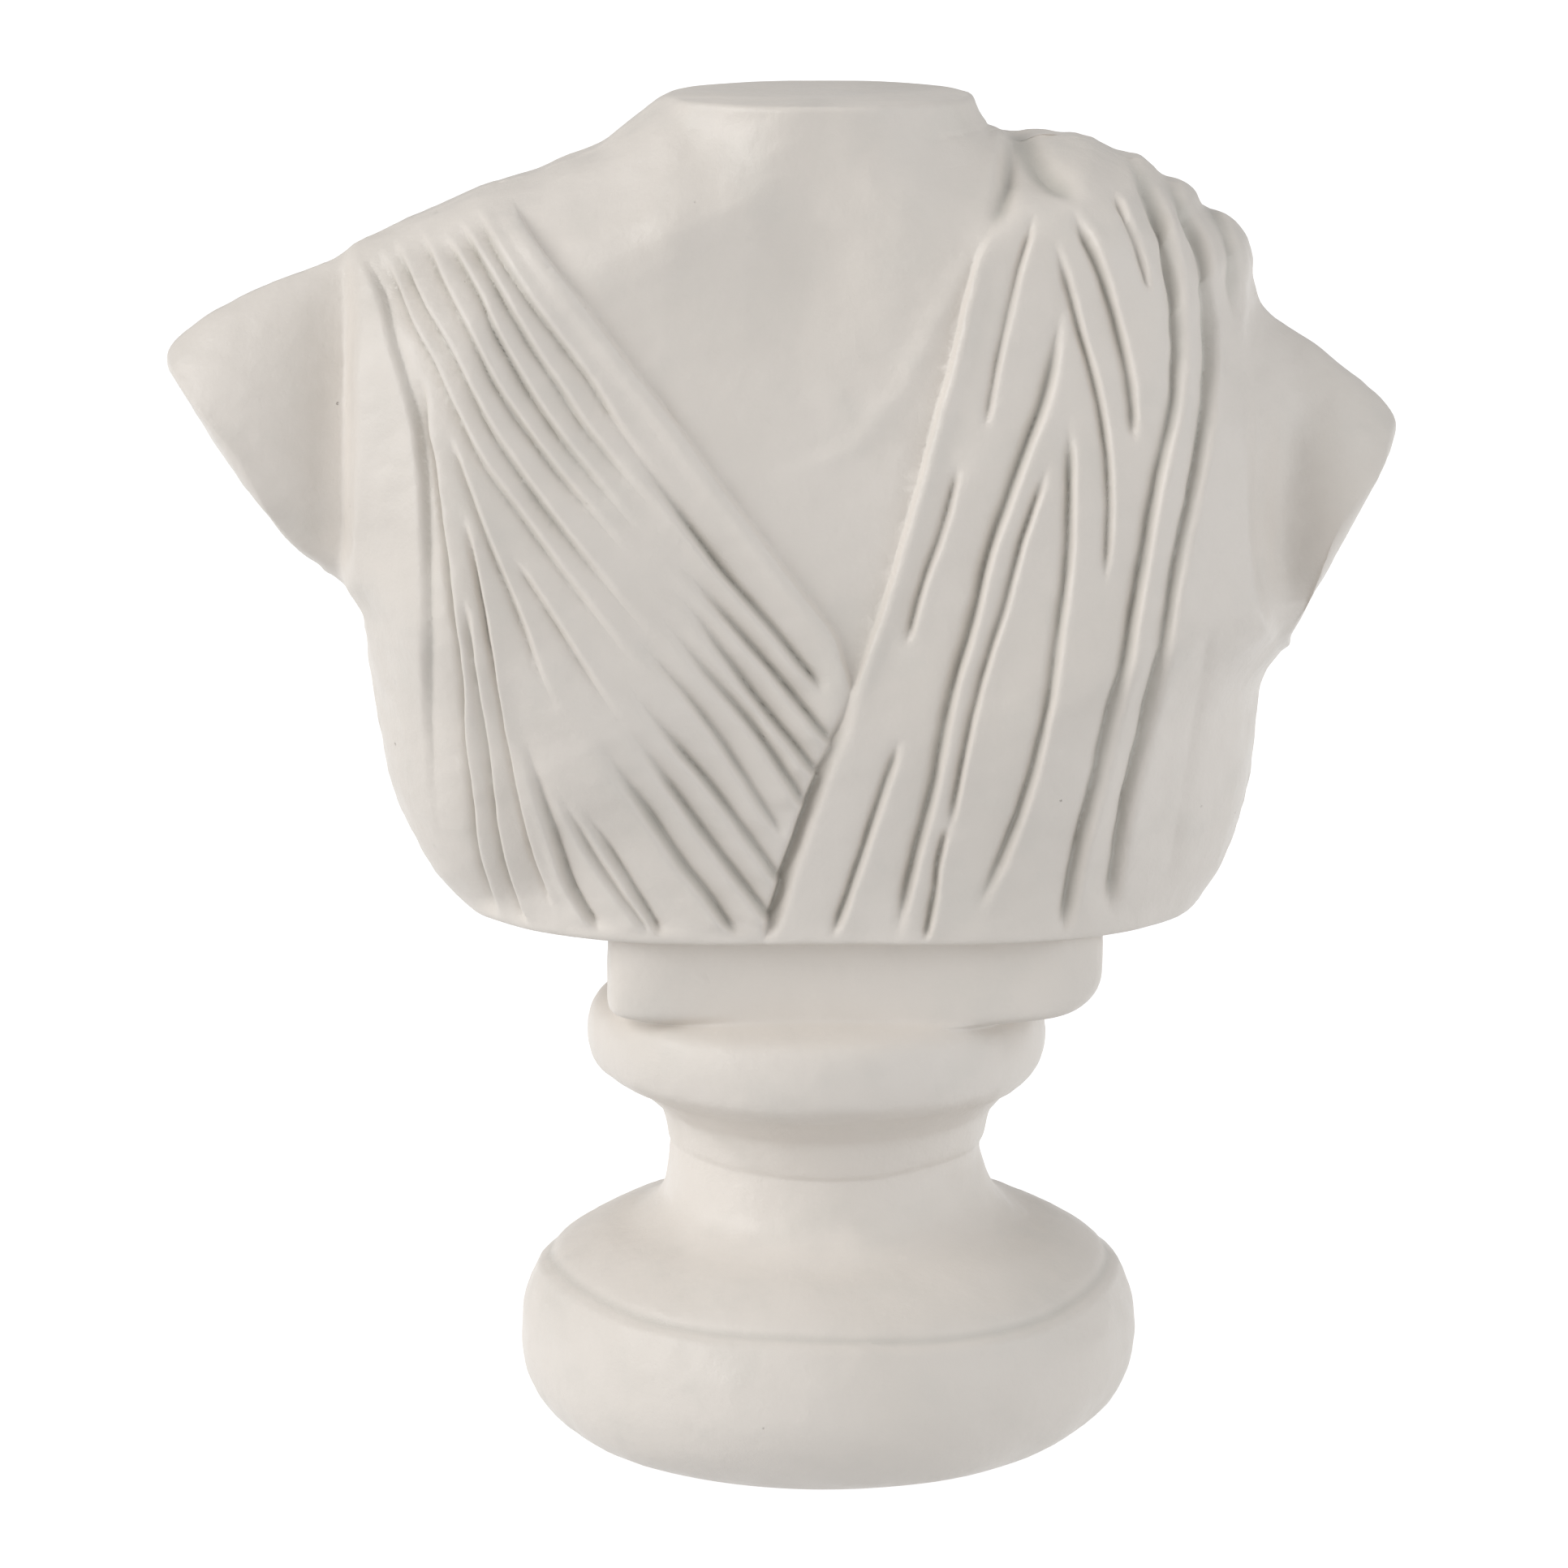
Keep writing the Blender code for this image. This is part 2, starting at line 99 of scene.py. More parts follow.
# Plain form. A change of depth has its size and the two heights between which it comes in
FRONT_DEPTH = 58
FRONT_CHANGES = ((8, 0, 70), (-12, 120, 200), (-6, 205, 238))
BACK_DEPTH = 54
BACK_CHANGES = ((2, 0, 60), (4, 90, 150), (-12, 170, 236))
LEFT_ARM_THINNER = 27
RIGHT_ARM_THINNER = 24
BACK_ARMS_THINNER = 26
EDGE_RADIUS = 36
FLANK_RADIUS_MORE = 42
NECK_RADIUS_MORE = 5

# Reach of the net on which edge distances are worked out, a little past the outline on every side
NET_ACROSS = (-204, 180)
NET_UP = (-4, 248)

# Swellings and hollows: height, place across and up, and reach across and up
LEFT_BREAST = (9, -74, 78, 42, 44)
RIGHT_BREAST = (8, 70, 80, 40, 46)
THROAT = (5, -6, 196, 16, 26)
COLLAR_HOLLOW = (0.8, -32, 208, 9, 20)
NECK_TENDON = (1.4, -46, 217, 7, 17)
LEFT_BLADE = (4, -62, 140, 34, 44)
RIGHT_BLADE = (4, 54, 140, 34, 44)
SPINE = (4, -4, 110, 12, 80)
RIGHT_ARMPIT = (8, 134, 122, 9, 32)

# Relief along the edges of the cloth and over the chest
UNDERCUT = 6.0
EDGE_DIP = 1.6
EDGE_ROLL = 1.3
NECKLINE_BAND = 0.9
CHEST_RIDGE = 0.9

# Unevenness of the hand, in layers: height, size and seed
BUST_LUMPS = ((0.26, 34, 3), (0.10, 12, 4), (0.03, 5, 5))
PLINTH_LUMPS = ((0.30, 46, 8), (0.10, 15, 9), (0.03, 6, 10))
LUMP_WAVES = 14

# Half outlines from the hem up to the neck cut: distance out and height
LEFT_SIDE = ((108, 0), (119, 12), (130, 37), (135, 67), (137, 83), (139, 92), (149, 102))
LEFT_STUB = ((160, 111), (175, 131), (188, 151), (194, 162), (189, 170))
LEFT_SHOULDER = (
    (172, 181), (147, 191.5), (138, 197.5), (131, 200.7), (122, 204.5), (113, 208.3), (104, 212.2),
    (98, 214.4), (86, 217.7), (77, 221.4), (68, 225.2), (60, 230.9), (53, 236.5), (48, 240),
)
RIGHT_SIDE = ((109, 0), (117, 13), (123, 32), (126, 54), (128, 69), (136, 81))
RIGHT_STUB = ((150, 109), (158, 125), (165, 139), (163, 149))
RIGHT_SHOULDER = (
    (144, 166), (129, 176), (124.5, 184), (122.5, 196), (119, 202), (114, 205.3), (108.5, 207.6),
    (105, 212), (102, 214.2), (97, 216), (93, 219.5), (90, 221.9), (84, 223.2), (79, 225.4), (75, 227.2),
    (64, 228.9), (48, 230), (44.5, 232.5), (42.2, 236.5), (41, 240),
)

# Slanted cuts through the arm stubs: the heights between which the outline is the cut
LEFT_CUT = (102, 165)
RIGHT_CUT = (81, 147)

# Where each arm's underside and top would go on past its cut, and how far the body would past hem and neck
LEFT_ARM_ON = ((163, 102), (182, 97), (210, 88), (240, 82)), ((250, 136), (222, 151))
RIGHT_ARM_ON = ((148, 83), (167, 80), (190, 77), (220, 74)), ((222, 106), (195, 126))
BODY_ON = 60

# Edges of the cloth, as points across and up
LEFT_NECKLINE = (
    (-108, 222), (-93, 213), (-84, 202), (-71, 186), (-56, 167), (-40, 147), (-20, 120), (-8, 104), (0, 93),
    (3, 84), (6, 76), (14, 60),
)
CROSSED_EDGE = (
    (54, 238), (50, 222), (46, 210), (40, 195), (34, 171), (28.5, 150), (20, 119), (13, 97), (7, 79),
    (1.5, 63), (-5, 47), (-10, 32.5), (-14.5, 18), (-19, 2), (-21, -6),
)
CHEST_LINE = ((43, 204), (36, 192), (29, 179.5), (22, 166), (12, 152), (0, 143), (-16, 138))
LEFT_ARM_EDGE = ((-141, 204), (-138, 187), (-137, 159), (-138, 122), (-141, 96), (-146, 84))
RIGHT_ARM_EDGE = ((121, 204), (120, 190), (118, 168), (118, 151), (119, 133), (123, 103), (131, 78))

# Carved folds from the top down, in groups. A group has the side its lips stand on, the lip's height, the
# share of the depth that is a narrow cut, and the shares of its length over which a fold runs out at top
# and bottom. A fold has points across and up, its depth and its groove's width
LEFT_FOLDS = (
    (1, 0.45, 0.0, 0.08, 0.42, (
        (((-131, 197), (-122.5, 180.5), (-115.5, 169), (-108, 156), (-100, 143), (-88, 127), (-76, 111),
          (-62, 93), (-50, 77)), 2.6, 1.4),
        (((-127, 200), (-118, 185), (-109.5, 172), (-102.5, 160.5), (-95, 148.5), (-84, 133), (-72, 118),
          (-58, 101), (-46, 87)), 3.0, 1.4),
        (((-119, 203), (-115, 196), (-108.5, 185), (-101.5, 173.5), (-94.5, 162), (-86, 150), (-77.5, 139),
          (-66, 126), (-54, 112)), 3.0, 1.4),
        (((-112, 203), (-108, 198), (-101, 188), (-95.5, 178), (-89, 167), (-82, 156), (-75, 146.5),
          (-64, 133.5), (-50, 117)), 3.0, 1.4),
        (((-107, 206), (-103, 201), (-97, 193), (-91, 183.5), (-84.5, 173), (-77, 162), (-70.5, 152),
          (-62, 142), (-46, 124)), 3.0, 1.4),
        (((-102, 209), (-97, 202), (-91, 193.5), (-84, 184), (-77, 175), (-69, 164.5), (-60, 151),
          (-50, 138)), 2.8, 1.4),
    )),
    (1, 0.4, 0.1, 0.12, 0.45, (
        (((-109, 148), (-103, 133), (-97, 119), (-92, 107), (-87.5, 96), (-83, 84), (-77, 70)), 2.4, 1.1),
        (((-90, 115), (-80.5, 101), (-74, 91), (-64, 75), (-57, 64)), 1.8, 1.2),
    )),
    (1, 0.45, 0.4, 0.12, 0.06, (
        (((-119, 165), (-116.5, 150), (-113, 134), (-110, 112), (-107.3, 85), (-106, 60), (-104.5, 40),
          (-102.5, 20), (-99, 2)), 4.4, 1.4),
        (((-105, 128), (-101.5, 113), (-98, 97), (-95.5, 80), (-93.3, 64), (-90.5, 45), (-87, 27),
          (-82, 10)), 2.6, 0.9),
        (((-104, 104), (-102.5, 88), (-100.5, 70), (-98.5, 50), (-96.5, 30), (-93, 14),
          (-89, 2)), 2.8, 1.2),
    )),
    (-1, 0.4, 0.0, 0.06, 0.40, (
        (((-136, 197), (-131, 188), (-125, 171), (-119.5, 153), (-116.5, 133), (-115.5, 110), (-116, 80),
          (-116, 50), (-113, 20)), 1.9, 1.4),
    )),
    (-1, 0.45, 0.3, 0.50, 0.06, (
        (((-88, 66), (-83, 45), (-79, 30), (-75, 16), (-68, 4)), 2.8, 1.1),
        (((-79, 50), (-74, 37), (-67, 24), (-53, 4)), 1.8, 1.1),
        (((-71, 42), (-66, 32), (-59, 20), (-50, 4)), 2.8, 1.0),
        (((-68, 68), (-60, 53), (-50, 37), (-43, 25.5), (-36, 16), (-28, 4)), 3.4, 1.5),
        (((-62, 74), (-53, 60), (-44, 46), (-36, 34), (-27, 21), (-16, 6)), 3.2, 1.5),
        (((-60, 84), (-52, 72), (-43, 60), (-33, 47), (-23, 32), (-14, 18)), 3.2, 1.5),
        (((-60, 99), (-52, 89.5), (-41, 76.5), (-31, 62), (-21, 45), (-15, 34)), 2.8, 1.4),
        (((-52, 103), (-44, 94), (-34, 81), (-22, 66), (-12, 50), (-8, 42)), 3.4, 1.5),
        (((-48, 110), (-39, 100), (-30, 87), (-20, 73), (-10, 60), (-4, 51)), 3.4, 1.5),
        (((-45, 116), (-37, 107), (-27, 95), (-17, 83), (-6, 69), (0, 61)), 3.4, 1.4),
        (((-62, 153), (-47, 133), (-32, 113), (-18, 96.5), (-3, 77)), 3.6, 1.3),
    )),
)
RIGHT_FOLDS = (
    (1, 0.0, 0.0, 0.25, 0.45, (
        (((50, 232), (50, 222), (47, 212), (40, 202)), 4.6, 3.2),
        (((52, 233), (58, 225), (63.5, 219), (68, 213)), 6.0, 3.2),
    )),
    (1, 0.4, 0.55, 0.14, 0.12, (
        (((57, 210), (52, 193), (47, 172), (43, 151)), 2.2, 1.2),
        (((35.5, 140), (31, 124), (25.5, 108), (21, 91)), 3.0, 1.2),
        (((65, 186), (60.5, 163), (52, 140), (44.5, 119), (40, 100), (35, 82), (31, 64), (28.3, 47),
          (24, 29), (18.5, 1)), 4.0, 1.6),
        (((61, 143), (54, 122), (49, 104), (43.5, 86), (39, 68), (36, 50), (33, 34)), 3.0, 1.3),
        (((32.5, 36), (30.5, 25), (29.5, 16), (27, 2)), 3.2, 1.1),
        (((19, 62), (13, 43), (8, 26), (0.5, 3)), 3.2, 1.3),
        (((66, 156), (67, 138), (66, 112), (63, 90), (60.3, 70), (56, 50), (50.5, 31), (41, 8)), 3.2, 1.5),
        (((62.5, 204), (69, 181), (74.7, 161), (78, 138), (77, 108)), 2.8, 1.2),
        (((68.5, 211), (75.5, 195), (81, 177), (84, 162), (85, 148)), 3.2, 1.4),
        (((81, 215), (86, 203.5), (90, 190)), 2.0, 1.0),
        (((108, 100), (104, 60), (98, 12)), 0.6, 2.0),
    )),
    (1, 0.4, 0.45, 0.05, 0.06, (
        (((82, 226), (87, 221.5), (93, 211), (97, 196), (98.3, 180), (97, 160), (91.5, 138), (87, 112),
          (83, 86), (78.5, 62), (72.5, 34), (67.5, 1)), 3.8, 1.8),
        (((94, 219), (99, 213), (104, 204), (107.4, 190), (107.2, 168), (103.5, 140), (98, 116), (94, 92),
          (90, 67), (85, 42), (81, 6)), 3.4, 1.7),
    )),
    (1, 0.4, 0.2, 0.12, 0.50, (
        (((107, 210), (111, 206), (114.3, 199), (115.3, 190), (115, 174)), 2.8, 1.8),
    )),
)

# Colours of the paint, of what lies in it, and of the painted shade in its grooves, from red to blue
PAINT_WARM = (0.800, 0.752, 0.700)
PAINT_DULL = (0.770, 0.722, 0.668)
PAINT_STAIN = (0.735, 0.700, 0.650)
# Painted shade: the grey that the paint is drawn towards in grooves and undercuts
GROOVE_SHADE_TONE = (0.470, 0.462, 0.420)
PINHOLE_TONE = (0.42, 0.39, 0.34)
SPECK_TONE = (0.34, 0.27, 0.19)

# Fineness of the grid, and the triangles kept of it
TRIANGLES = 194000
FRONT_COLUMNS, BACK_COLUMNS, BUST_ROWS, PROFILE_STEPS = 760, 300, 620, 9


def smooth(value, low, high):
    """0 below low, 1 above high, and an S-curve between."""
    t = np.clip((value - low) / (high - low), 0, 1)
    return t * t * (3 - 2 * t)


def quarter_round(distance, radius):
    """The height of a quarter circle: 0 at its edge, 1 from one radius inward."""
    t = np.clip(distance / radius, 0, 1)
    return np.sqrt(1 - (1 - t) ** 2)


def mound(x, z, height, cx, cz, rx, rz):
    """A round swelling about a point: its height times exp of minus the squared distance over the radii."""
    return height * np.exp(-(((x - cx) / rx) ** 2) - ((z - cz) / rz) ** 2)


def curve_through(points, per_span=8):
    """A smooth curve through the points: each span is a cubic whose end slopes join the neighbours."""
    p = np.asarray(points, float)
    p = np.vstack([2 * p[0] - p[1], p, 2 * p[-1] - p[-2]])
    t = np.linspace(0, 1, per_span, endpoint=False)[:, None]
    spans = []
    for a, b, c, d in zip(p, p[1:], p[2:], p[3:]):
        bend = (2 * a - 5 * b + 4 * c - d) * t**2 + (3 * b - a - 3 * c + d) * t**3
        spans.append(0.5 * (2 * b + (c - a) * t + bend))
    return np.vstack(spans + [p[-2:-1]])


def rising_outline(points, side):
    """An outline from the hem to the neck that never turns down, with x negative on the left."""
    line = curve_through(points) * (side, 1)
    line[:, 1] = np.maximum.accumulate(line[:, 1])
    return line


def across_at(height, points):
    """Where an edge, given from its top down or its bottom up, lies at each height."""
    line = curve_through(points)
    line = line[np.argsort(line[:, 1])]
    return np.interp(height, line[:, 1], line[:, 0])


def wander(along, seed, reach):
    """An uneven line of the hand: three sines of falling size, whose phases come from the seed."""
    steps = ((0.07, 0.5), (0.19, 0.32), (0.47, 0.18))
    return reach * sum(share * np.sin(pace * along + seed * (2.1 + 5 * pace)) for pace, share in steps)


def lumps(points, size, seed):
    """Soft unevenness in space: sine waves, about size long, along directions drawn from the seed.

    Their sum is divided by the root of their number.
    """
    draws = np.random.default_rng(seed)
    total = 0
    for _ in range(LUMP_WAVES):
        way = draws.normal(size=3)
        way = way / np.linalg.norm(way) * draws.uniform(0.7, 1.6) * 2 * np.pi / size
        total = total + np.sin(points @ way + draws.uniform(0, 2 * np.pi))
    return total / LUMP_WAVES**0.5


def roughened(relief, points, layers):
    """A relief with every layer of lumps added, each times its height."""
    for height, size, seed in layers:
        relief = relief + height * lumps(points, size, seed)
    return relief


def line_distance(x, z, line):
    """Distance from each point to the nearest stretch of a line."""
    nearest = np.full(np.broadcast(x, z).shape, np.inf)
    for (ax, az), (bx, bz) in zip(line, line[1:]):
        share = ((x - ax) * (bx - ax) + (z - az) * (bz - az)) / ((bx - ax) ** 2 + (bz - az) ** 2)
        share = np.clip(share, 0, 1)
        nearest = np.minimum(nearest, np.hypot(x - ax - share * (bx - ax), z - az - share * (bz - az)))
    return nearest


def outlines():
    """The left and the right outline from the hem to the neck cut."""
    left = rising_outline(LEFT_SIDE + LEFT_STUB + LEFT_SHOULDER, -1)
    right = rising_outline(RIGHT_SIDE + RIGHT_STUB + RIGHT_SHOULDER, 1)
    return left, right


def body_edges():
    """The edges that the body swells between, as if the arms, the body and the neck went on."""
    left, right = outlines()
    for line, side, cut, arm_on in ((left, -1, LEFT_CUT, LEFT_ARM_ON), (right, 1, RIGHT_CUT, RIGHT_ARM_ON)):
        below, above = (np.array(points) * (side, 1) for points in arm_on)
        yield np.vstack([line[:1] - (0, BODY_ON), line[line[:, 1] < cut[0]][::2], below])
        yield np.vstack([above, line[line[:, 1] > cut[1]][::2], line[-1:], line[-1:] + (0, BODY_ON)])


def edge_distance(x, z):
    """How far each point lies inside the body's edges.

    The four distances are joined by a soft minimum. They are worked out on a net of squares and read
    between its knots.
    """
    step, softness = 1.25, 4.0
    net_x = np.arange(*NET_ACROSS, step)
    net_z = np.arange(*NET_UP, step)
    total = 0
    for line in body_edges():
        total = total + np.exp(-line_distance(net_x[None, :], net_z[:, None], line) / softness)
    net = np.maximum(-softness * np.log(total), 0)
    across = np.clip((x - net_x[0]) / step, 0, len(net_x) - 1.001)
    up = np.clip((z - net_z[0]) / step, 0, len(net_z) - 1.001)
    i, j = up.astype(int), across.astype(int)
    fx, fz = across - j, up - i
    low = net[i, j] * (1 - fx) + net[i, j + 1] * fx
    high = net[i + 1, j] * (1 - fx) + net[i + 1, j + 1] * fx
    return low * (1 - fz) + high * fz


def cut_distance(x, z, outline, cut):
    """Distance to the stretch of an outline where an arm is cut off."""
    low, top = cut
    stretch = outline[(outline[:, 1] > low) & (outline[:, 1] < top)]
    return line_distance(x, z, stretch[::3])


def edge_radius(z):
    """How far in from its edges the body is still rounding: widest at the flanks, less at the arms."""
    flank = FLANK_RADIUS_MORE * (1 - smooth(z, 58, 100))
    return EDGE_RADIUS + flank + NECK_RADIUS_MORE * smooth(z, 200, 236)


def depth_at(z, depth, changes):
    """A depth that changes with height: each change comes in along an S-curve between two heights."""
    for size, low, high in changes:
        depth = depth + size * smooth(z, low, high)
    return depth


def front_thickness(x, z):
    """How far the front stands before the middle plane where no edge is near."""
    torso = depth_at(z, FRONT_DEPTH, FRONT_CHANGES)
    left_arm = LEFT_ARM_THINNER * smooth(-x, 96, 150)
    right_arm = RIGHT_ARM_THINNER * smooth(x, 92, 146)
    arms = smooth(z, 84, 120)
    beyond_left = across_at(z, LEFT_ARM_EDGE) + wander(z, 5.5, 0.3) - x
    beyond_right = x - across_at(z, RIGHT_ARM_EDGE) - wander(z, 9.5, 0.4)
    deeper_at_edge = 9 * np.exp(-np.maximum(beyond_left, 0) / 20)
    step_left = smooth(beyond_left, -0.6, 2.4) * (LEFT_ARM_STEP + deeper_at_edge)
    step_right = RIGHT_ARM_STEP * smooth(beyond_right, -0.8, 3.4)
    steps = step_left * smooth(z, 86, 100) + step_right * smooth(z, 70, 96)
    breasts = mound(x, z, *LEFT_BREAST) + mound(x, z, *RIGHT_BREAST)
    hollow = mound(x, z, *THROAT) + mound(x, z, *COLLAR_HOLLOW)
    tendon = mound(x, z, *NECK_TENDON)
    return torso + breasts + tendon - hollow - (left_arm + right_arm) * arms - steps


def back_thickness(x, z):
    """How far the back stands behind the middle plane where no edge is near."""
    torso = depth_at(z, BACK_DEPTH, BACK_CHANGES)
    arms = BACK_ARMS_THINNER * smooth(np.abs(x + 6), 92, 150) * smooth(z, 84, 120)
    blades = mound(x, z, *LEFT_BLADE) + mound(x, z, *RIGHT_BLADE)
    spine = mound(x, z, *SPINE)
    step = BACK_ARM_STEP * smooth(np.abs(x + 8) - 129, -1.0, 5.0) * smooth(z, 88, 100)
    return torso + blades - spine - arms - step


def carved_fold(x, z, fold, group, seed):
    """One carved fold, how much painted shade each point takes in its groove, and which points it reaches.

    Across the fold the surface sinks slowly and then with a narrow cut to the groove, climbs a steep face,
    rounds over a broad lip, and falls away slowly behind it. The sinking is exponential, the cut and the
    face are bells, and the lip is distance times its falling exponential. The fold wanders a little, its
    depth varies, and both its ends run out.
    """
    points, depth, width = fold
    side, lip, cut, top_share, low_share = group
    line = curve_through(points)
    line = line[np.argsort(line[:, 1])]
    low, top = line[0, 1], line[-1, 1]
    reach, margin, slow = 20, 3, 4.0
    near = (z > low - margin) & (z < top + margin)
    near &= (x > line[:, 0].min() - reach) & (x < line[:, 0].max() + reach)
    knots = np.linspace(low - margin, top + margin, 200)
    centre = np.interp(knots, line[:, 1], line[:, 0])
    slant = np.hypot(1, np.gradient(centre, knots))
    centre = centre + wander(knots, seed, 0.18)
    run = top - low
    ends = smooth(knots, low - 2, low + low_share * run)
    ends = ends * (1 - smooth(knots, top - top_share * run, top + 2))
    strength = depth * ends * (1 + wander(knots, seed + 0.7, 0.16))
    wide = width * (1 + wander(knots, seed + 1.9, 0.12)) * (1.25 - 0.25 * ends)
    height = z[near]
    off = side * (x[near] - np.interp(height, knots, centre)) / np.interp(height, knots, slant)
    strength = np.interp(height, knots, strength)
    wide = np.interp(height, knots, wide)
    share = off / wide
    before = -cut * np.exp(-(share**2)) - (1 - cut) * np.exp(np.minimum(share, 0) / slow)
    behind = np.maximum(share, 0)
    crest = 0.7 + 2.0 * cut
    after = -np.exp(-(behind**2)) + lip * behind / crest * np.exp(1 - behind / crest)
    relief = strength * np.where(off < 0, before, after)
    # Painted shade: the groove's darkening, strongest at its bottom and where the fold is deep
    shade = np.clip(strength / 3.5, 0, 1) * np.exp(-(share**2))
    return relief, shade, near


def carved_folds(x, z, groups, seed):
    """All folds of one panel together: their reliefs added, the painted shade of their grooves joined."""
    relief, shade = np.zeros_like(x), np.zeros_like(x)
    for *group, folds in groups:
        for fold in folds:
            seed += 1.7
            one, dark, near = carved_fold(x, z, fold, group, seed)
            relief[near] += one
            shade[near] = np.maximum(shade[near], dark)
    return relief, shade


def front_relief(x, z, distance):
    """The front's carving over the plain form, and the painted shade in its grooves: cloth, folds, bare
    skin and arms.
    """
    neckline = across_at(z, LEFT_NECKLINE) + wander(z, 3.1, 0.3)
    crossed = across_at(z, CROSSED_EDGE) + wander(z, 8.4, 0.35)
    beyond = x - crossed
    on_right = smooth(beyond / (1 + 3.5 * smooth(z, 192, 212)), -1.0, 0.6)
    on_left = 1 - smooth(x - neckline, -0.4, 1.4)
    bare = (1 - on_right) * (1 - on_left) * smooth(z, 70, 84)
    folds_left, shade_left = carved_folds(x, z, LEFT_FOLDS, 1.0)
    folds_right, shade_right = carved_folds(x, z, RIGHT_FOLDS, 50.0)
    inside_left = (1 - on_right) * (1 - bare)
    relief = folds_left * inside_left + folds_right * on_right
    shade = shade_left * inside_left + shade_right * on_right
    relief = relief - CLOTH * bare * smooth(distance, 2, 14)
    undercut = smooth(z, -2, 12) * (1 - 0.5 * smooth(z, 44, 60) - 0.5 * smooth(z, 60, 82))
    gap = np.exp(-((np.minimum(beyond, 0) / 1.3) ** 2) - (np.maximum(beyond, 0) / 2.4) ** 2)
    beside = (1 - on_right) * (1 - bare) * np.exp(-((np.minimum(beyond, 0) / 3.2) ** 2))
    relief = relief - UNDERCUT * undercut * gap - EDGE_DIP * (1 - undercut) * beside
    # Painted shade: the deep undercut below the crossed edge of the cloth is darkened as well
    shade = np.maximum(shade, undercut * gap)
    roll = np.exp(-(((beyond - 2.4) / 2.4) ** 2))
    relief = relief + EDGE_ROLL * roll * on_right * smooth(z, 60, 90) * (1 - smooth(z, 186, 204))
    band = np.exp(-(((neckline - x - 3.5) / 3.0) ** 2))
    band = NECKLINE_BAND * band * on_left * (1 - on_right)
    relief = relief + band * smooth(z, 84, 100) * smooth(distance, 2, 14)
    chest = line_distance(x, z, curve_through(CHEST_LINE, 4))
    relief = relief + CHEST_RIDGE * smooth(x, -20, 16) * bare * np.exp(-((chest / 3.6) ** 2))
    relief = relief - mound(x, z, *RIGHT_ARMPIT)
    return relief * (0.5 + 0.5 * smooth(distance, 0, 8)), shade


def back_folds():
    """Plain long folds of the back: two fans that fall from the shoulders to the hem."""
    for side, shoulder, count in ((-1, 128, 6), (1, 112, 6)):
        folds = []
        for i in range(count):
            share = i / (count - 1)
            top = side * (shoulder - 62 * share)
            low = side * (96 - 90 * share)
            top_z = 216 - 10 * (1 - share)
            points = (top, top_z), ((top + low) / 2 - 4 * side, top_z / 2 + 1), (low, 2)
            folds.append((points, 2.2 + 0.8 * np.sin(3 * i), 3.0))
        yield -side, 0.25, 0.0, 0.12, 0.10, folds


def back_relief(x, z, distance):
    """The back's carving: plain folds below a bare neck, and the painted shade in the folds' grooves."""
    folds, groove_shades = carved_folds(x, z, back_folds(), 80.0)
    bare_neck = smooth(z - 198, 0, 14) * smooth(70 - np.abs(x + 4), 0, 12)
    return folds * (1 - bare_neck) - 2 * bare_neck * smooth(distance, 3, 16), groove_shades * (1 - bare_neck)


def column_turns():
    """Angles of the columns: 0 at the left edge, rising through the front to the right edge."""
    front = np.linspace(0, np.pi, FRONT_COLUMNS, endpoint=False)
    back = np.linspace(np.pi, 2 * np.pi, BACK_COLUMNS, endpoint=False)
    return np.concatenate([front, back])


def even_points(line, count):
    """Points along an outline, nearly evenly spaced, with a little more room on its steep stretches."""
    steps = np.hypot(*np.diff(line, axis=0).T)
    pace = steps + 0.4 * np.abs(np.diff(line[:, 1]))
    along = np.concatenate([[0], np.cumsum(pace)])
    spots = np.linspace(0, along[-1], count)
    return np.interp(spots, along, line[:, 0]), np.interp(spots, along, line[:, 1])


def blurred(grid, times):
    """A closed grid of rows with each value drawn towards its four neighbours, a number of times."""
    for _ in range(times):
        grid = 0.5 * grid + 0.25 * (np.roll(grid, 1, axis=1) + np.roll(grid, -1, axis=1))
        inner = 0.5 * grid[1:-1] + 0.25 * (grid[:-2] + grid[2:])
        grid = np.concatenate([grid[:1], inner, grid[-1:]])
    return grid


def outward(points):
    """Unit normals of a closed grid of rows, pointing out of the body."""
    round_about = np.roll(points, -1, axis=1) - np.roll(points, 1, axis=1)
    upward = np.gradient(points, axis=0)
    normal = np.cross(round_about, upward)
    return normal / np.maximum(np.linalg.norm(normal, axis=-1, keepdims=True), 1e-9)


